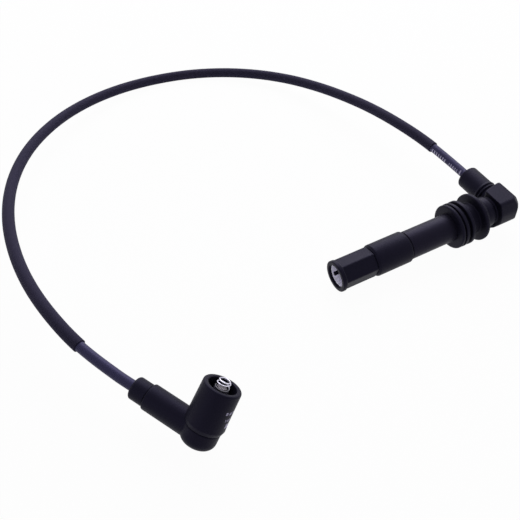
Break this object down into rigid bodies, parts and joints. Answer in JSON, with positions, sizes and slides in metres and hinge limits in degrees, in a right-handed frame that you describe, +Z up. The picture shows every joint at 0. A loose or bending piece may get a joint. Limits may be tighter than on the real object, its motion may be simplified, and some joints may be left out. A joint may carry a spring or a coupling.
{
  "type": "spark plug wire",
  "caption": "Ignition lead: a sleeved silicone cable with an elbow boot for the coil and a long sealed elbow boot for the plug.",
  "frame": {"origin": "on the table, under the middle of the box round the two boots, without the cable and its sleeve", "axes": "+X along the plug boot's tube, from its mouth to its elbow; +Y from the boots to the cable's loop; +Z up"},
  "size_m": [0.3456, 0.3975, 0.0432],
  "materials": {
    "boot_rubber": "satin",
    "hard_plastic": "satin",
    "cable_silicone": "satin",
    "sleeve": "matte",
    "bright_steel": "bright",
    "contact_brass": "satin",
    "resistor_ceramic": "matte"
  },
  "bodies": {
    "root": {"coil_elbow_boot": "boot_rubber", "coil_tower_shell": "boot_rubber", "coil_cable_seal": "boot_rubber", "coil_insulator_core": "hard_plastic", "coil_resistor": "resistor_ceramic", "coil_contact_rivet": "bright_steel", "coil_contact_spring": "bright_steel", "coil_cable_terminal": "contact_brass", "plug_tip": "boot_rubber", "plug_contact_liner": "bright_steel", "plug_grip_bush": "boot_rubber", "plug_band": "boot_rubber", "plug_tube": "hard_plastic", "plug_well_seal": "boot_rubber", "plug_elbow": "boot_rubber", "plug_gland_grommet": "boot_rubber", "plug_terminal_cup": "contact_brass", "plug_terminal_clip": "bright_steel", "plug_contact_spring": "bright_steel", "plug_resistor_front_cap": "contact_brass", "plug_resistor": "resistor_ceramic", "plug_resistor_rear_cap": "contact_brass", "plug_lead_rod": "contact_brass", "plug_cable_terminal": "contact_brass", "cable": "cable_silicone", "protective_sleeve": "sleeve"}
  },
  "joints": []
}
